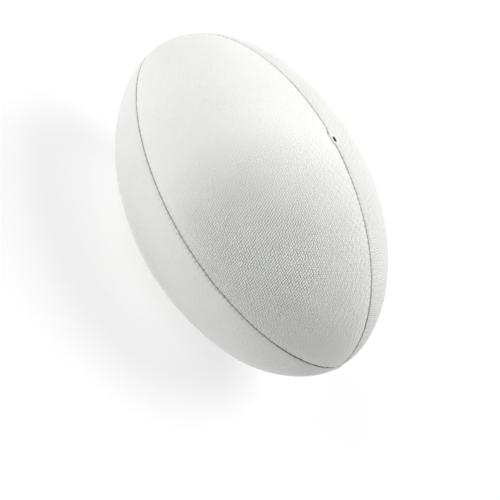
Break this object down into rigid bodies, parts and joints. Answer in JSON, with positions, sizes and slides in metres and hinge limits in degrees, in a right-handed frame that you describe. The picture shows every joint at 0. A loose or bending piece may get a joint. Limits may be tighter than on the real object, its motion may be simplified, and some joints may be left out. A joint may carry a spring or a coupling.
{
  "type": "rugby ball",
  "caption": "Plain white oval rugby ball with a fine pimpled rubber face, four sewn panels and an inflation valve set in a tab beside one seam.",
  "frame": {"origin": "the middle of the ball", "axes": "+X from end to end along the ball's long axis; +Z out through the seam that the valve sits beside"},
  "size_m": [0.2898, 0.1868, 0.1869],
  "materials": {
    "white_rubber": "matte",
    "cotton": "matte",
    "waxed_thread": "satin",
    "bladder_rubber": "satin",
    "black_rubber": "satin"
  },
  "bodies": {
    "root": {"balance_patch": "bladder_rubber", "bladder": "bladder_rubber", "panel_front_bottom": "white_rubber", "panel_front_top": "white_rubber", "panel_rear_bottom": "white_rubber", "panel_rear_top": "white_rubber", "ply_inner_front_bottom": "cotton", "ply_inner_front_top": "cotton", "ply_inner_rear_bottom": "cotton", "ply_inner_rear_top": "cotton", "ply_outer_front_bottom": "cotton", "ply_outer_front_top": "cotton", "ply_outer_rear_bottom": "cotton", "ply_outer_rear_top": "cotton", "seam_thread_bottom": "waxed_thread", "seam_thread_front": "waxed_thread", "seam_thread_rear": "waxed_thread", "seam_thread_top": "waxed_thread", "valve_body": "black_rubber", "valve_core": "black_rubber", "valve_lining_patch": "cotton", "valve_patch": "bladder_rubber"}
  },
  "joints": []
}
